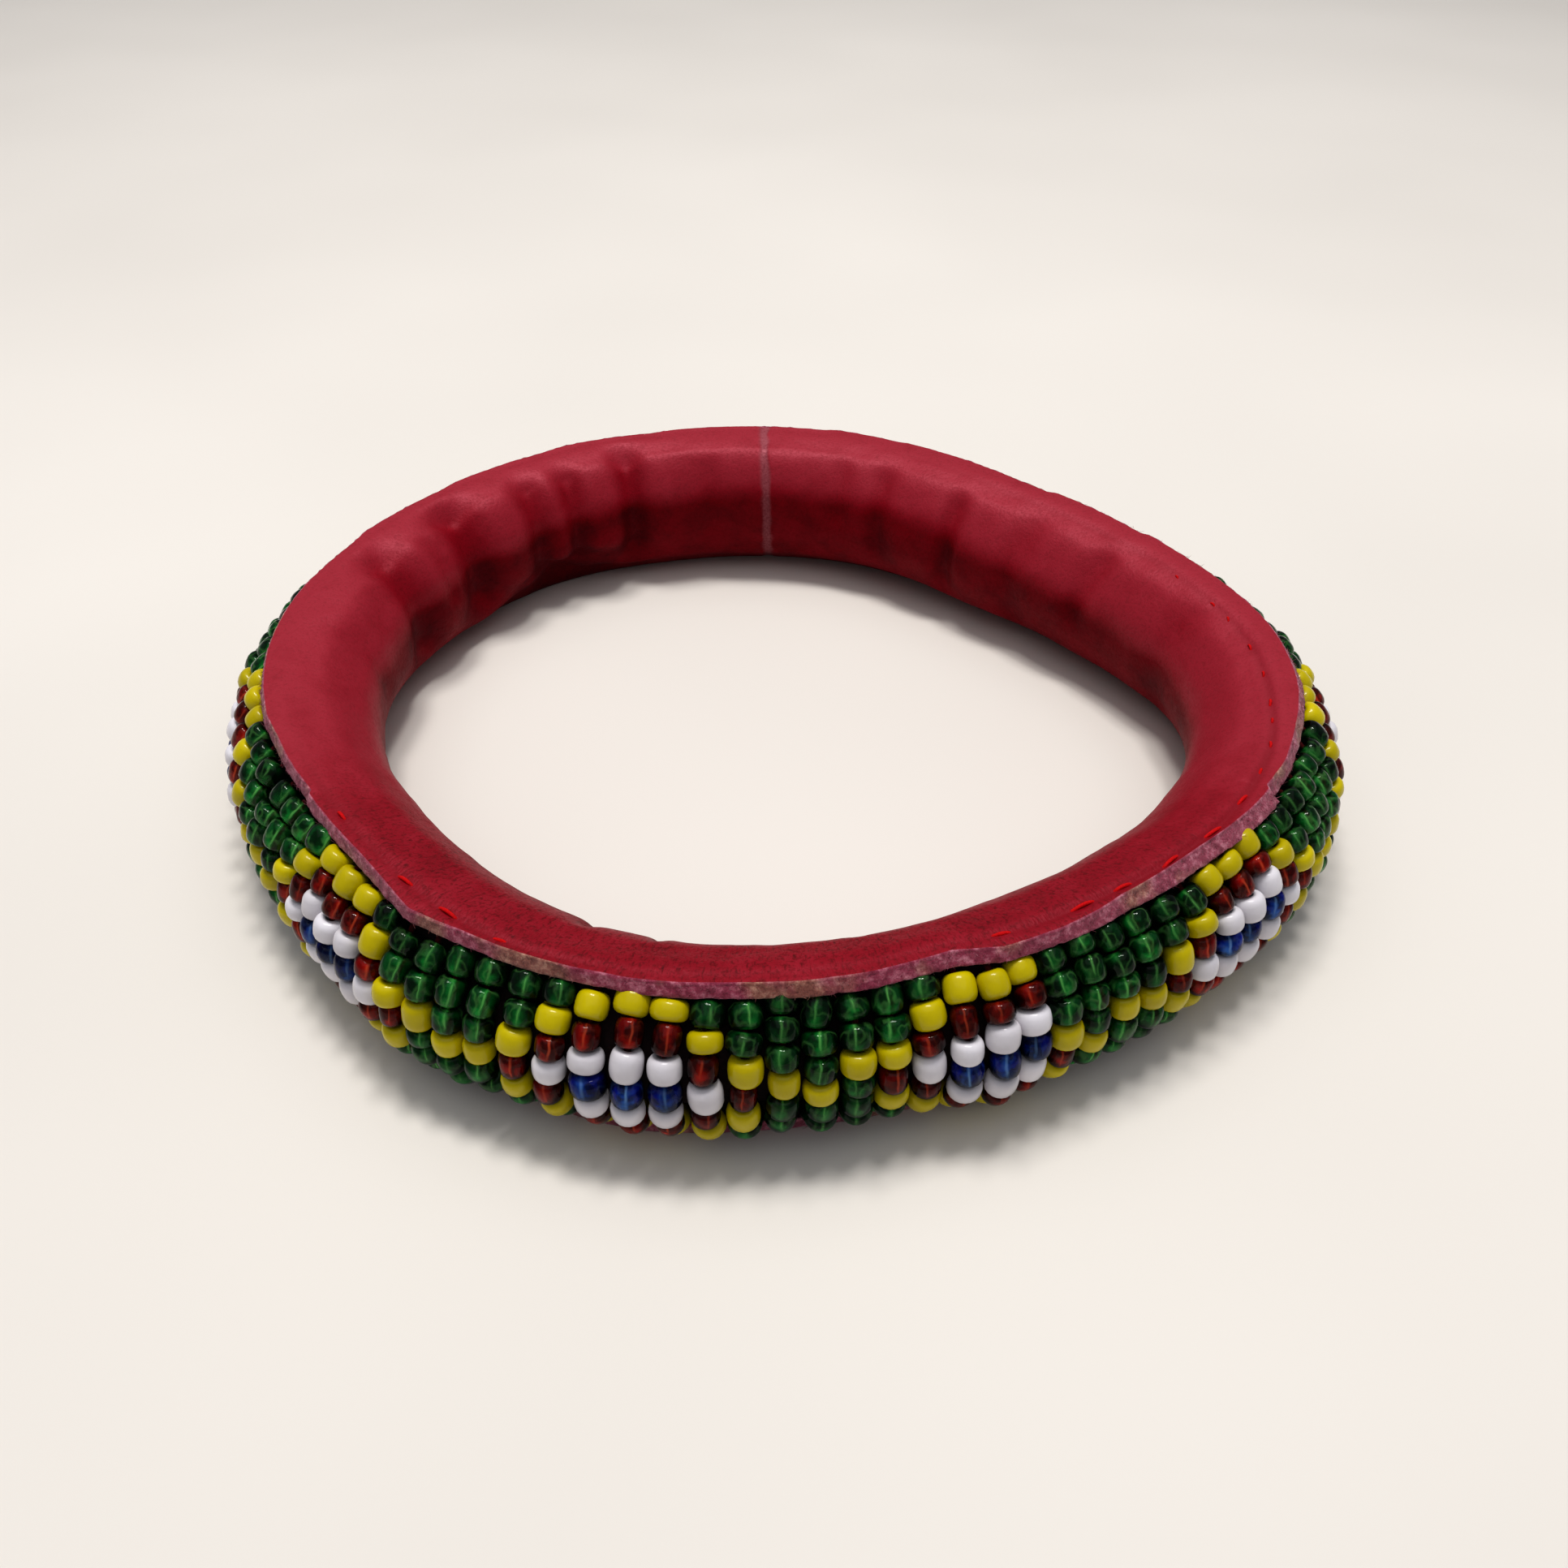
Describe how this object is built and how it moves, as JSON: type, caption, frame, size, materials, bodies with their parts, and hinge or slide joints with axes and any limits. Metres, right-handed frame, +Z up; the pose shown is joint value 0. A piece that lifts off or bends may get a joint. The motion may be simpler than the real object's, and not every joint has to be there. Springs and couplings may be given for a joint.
{
  "type": "beaded leather bangle",
  "caption": "Round padded leather bangle with an open wrist hole and a band of glass seed beads in a diamond pattern round its outer face.",
  "frame": {"origin": "on the surface that the bangle lies on, at the bottom centre of its bounding box, in the middle of the wrist hole", "axes": "+Z up, along the way the wrist goes through; +X to the right and -Y towards the front of the pictured view"},
  "size_m": [0.0997, 0.0927, 0.0155],
  "materials": {
    "leather": "soft sheen with fine pores",
    "green_glass": "glossy transparent glass",
    "red_glass": "glossy transparent glass",
    "blue_glass": "glossy transparent glass",
    "yellow_glass": "glossy opaque glass",
    "white_glass": "glossy opaque glass",
    "thread": "twisted sewing thread",
    "raw_leather": "fibrous cut edge"
  },
  "bodies": {
    "root": {"leather_cover": "leather", "bead_band": "green_glass"}
  },
  "joints": []
}
